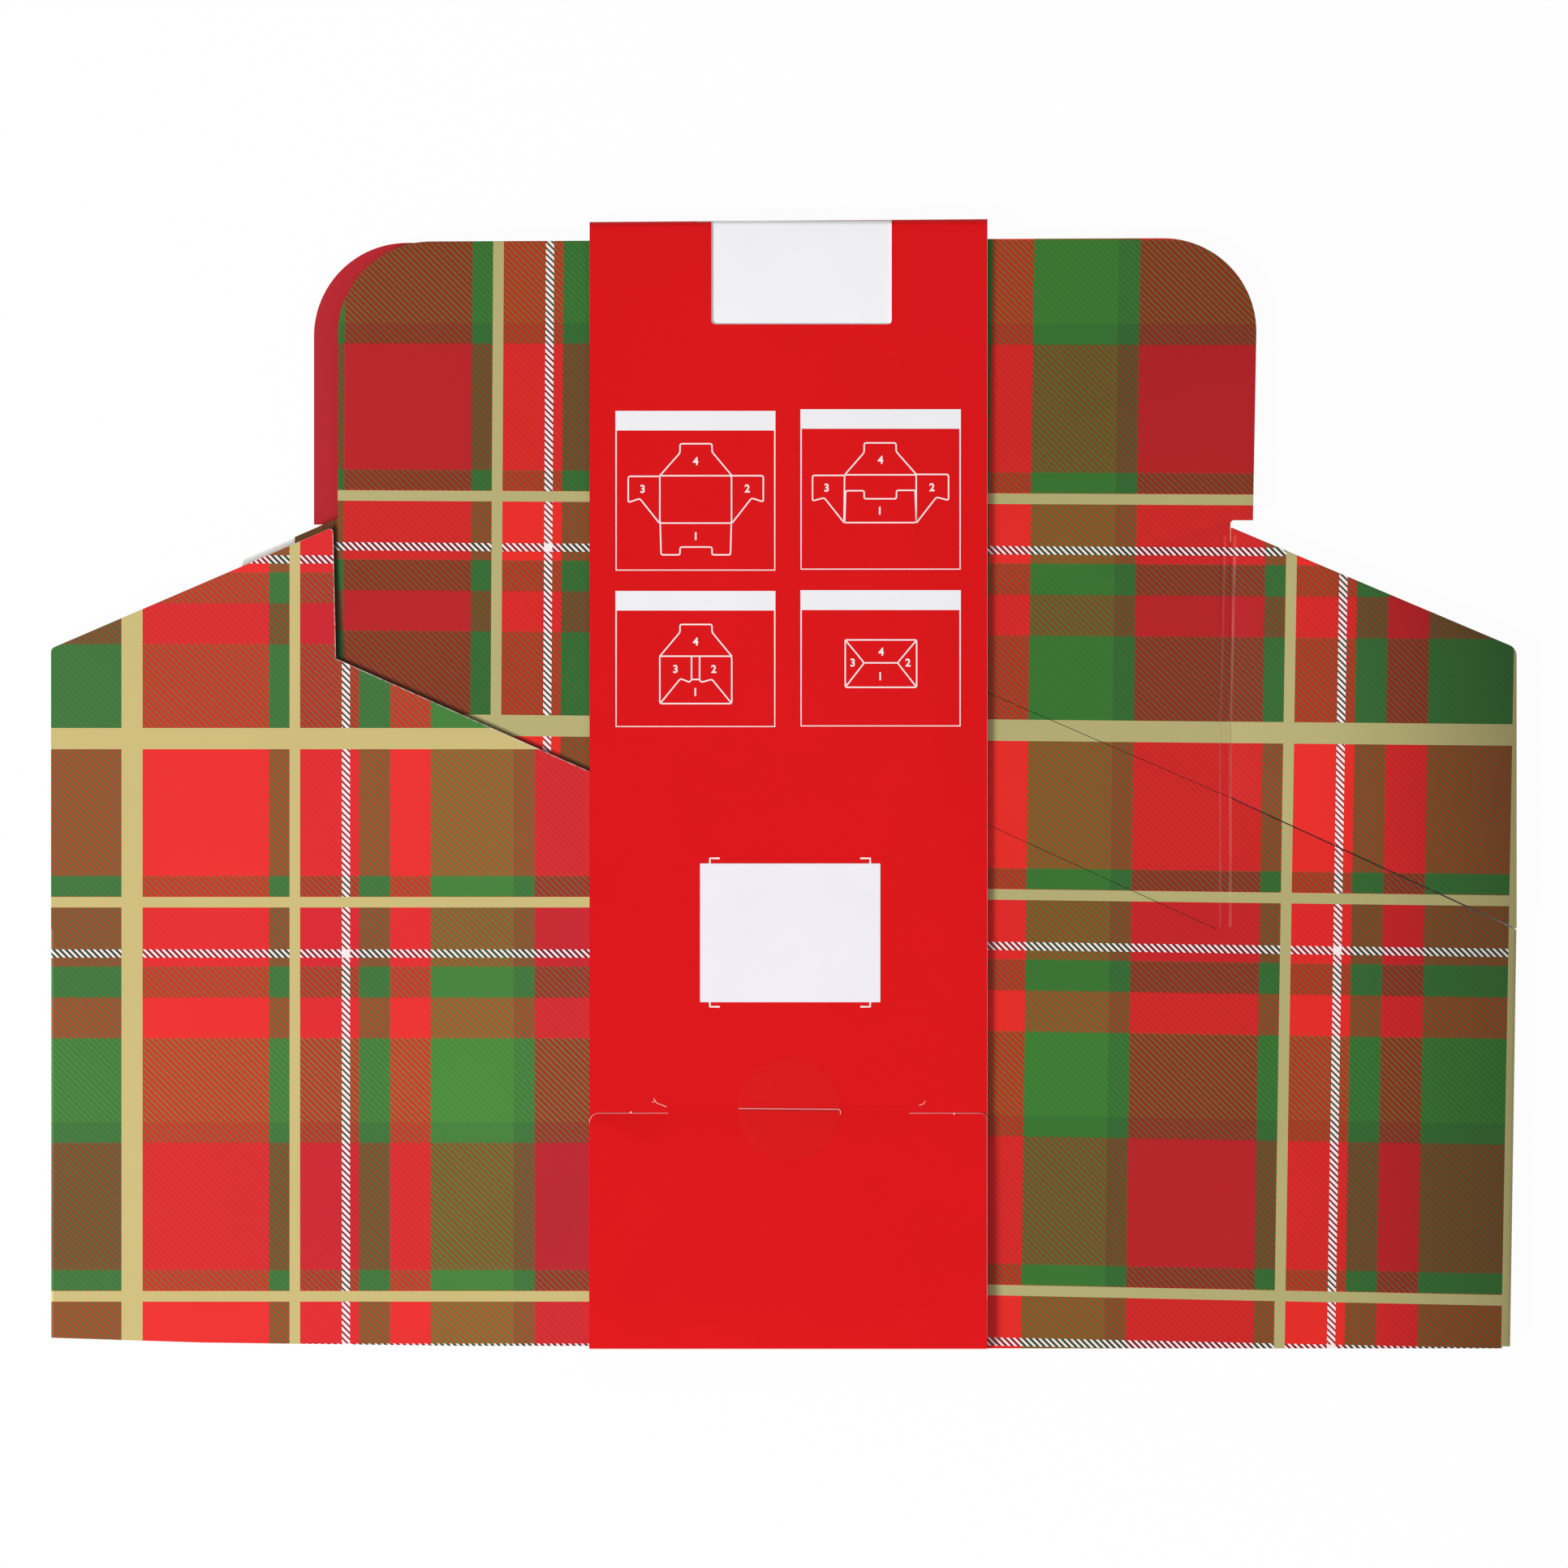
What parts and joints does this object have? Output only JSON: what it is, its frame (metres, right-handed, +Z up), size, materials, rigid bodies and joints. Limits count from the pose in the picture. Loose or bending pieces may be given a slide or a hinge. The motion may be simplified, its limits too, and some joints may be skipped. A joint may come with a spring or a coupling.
{
  "type": "flat packed bottle carrier",
  "caption": "Flat-packed tartan bottle gift carrier with a rounded carry handle, held by a red card sleeve with a tuck flap.",
  "frame": {"origin": "bottom centre of the whole flat pack, on the table it lies on", "axes": "+X across the pack, to the right seen from above; +Y up the pack towards the handle; +Z up from the table, towards the viewer"},
  "size_m": [0.325, 0.2506, 0.0069],
  "materials": {
    "tartan_board": "satin printed board",
    "crimson_board": "satin printed board",
    "grey_board": "uncoated board",
    "red_card": "satin printed card",
    "white_card": "uncoated card",
    "label_paper": "matt paper label",
    "clear_film": "clear gloss film"
  },
  "bodies": {
    "carrier": {"front_wall": "tartan_board", "handle_panel_front": "tartan_board", "centre_strap_front": "tartan_board", "right_end_wall": "tartan_board", "glue_flap_front": "grey_board", "base_flap_front": "grey_board", "base_flap_right": "grey_board", "base_flap_back": "grey_board", "base_flap_left": "grey_board", "back_wall": "tartan_board", "handle_panel_rear": "crimson_board", "centre_strap_rear": "grey_board", "left_end_wall": "tartan_board", "left_shoulder_panel": "grey_board", "glue_flap_rear": "grey_board", "cell_divider_front_1": "grey_board", "cell_divider_rear_1": "grey_board", "cell_divider_front_2": "grey_board", "cell_divider_rear_2": "grey_board"},
    "shoulder": {"right_shoulder_panel": "tartan_board"},
    "sleeve": {"sleeve_back": "red_card", "sleeve_front": "red_card", "window_card": "white_card", "label_sticker": "label_paper", "sleeve_top_fold": "red_card", "sleeve_bottom_fold": "red_card"},
    "tuck_flap": {"tuck_flap": "red_card", "round_seal": "clear_film"}
  },
  "joints": [
    {"name": "sleeve_slide", "type": "slide", "parent": "carrier", "child": "sleeve", "axis": [1, 0, 0], "range_m": [-0.215, 0.215]},
    {"name": "tuck_flap_fold", "type": "hinge", "parent": "sleeve", "child": "tuck_flap", "pos_m": [0.001, -0.12512, 0.00628], "axis": [1, 0, 0], "range_deg": [0, 175]},
    {"name": "shoulder_fold", "type": "hinge", "parent": "carrier", "child": "shoulder", "pos_m": [0.099, 0.0277, 0.00435], "axis": [0, -1, 0], "range_deg": [0, 150]}
  ]
}
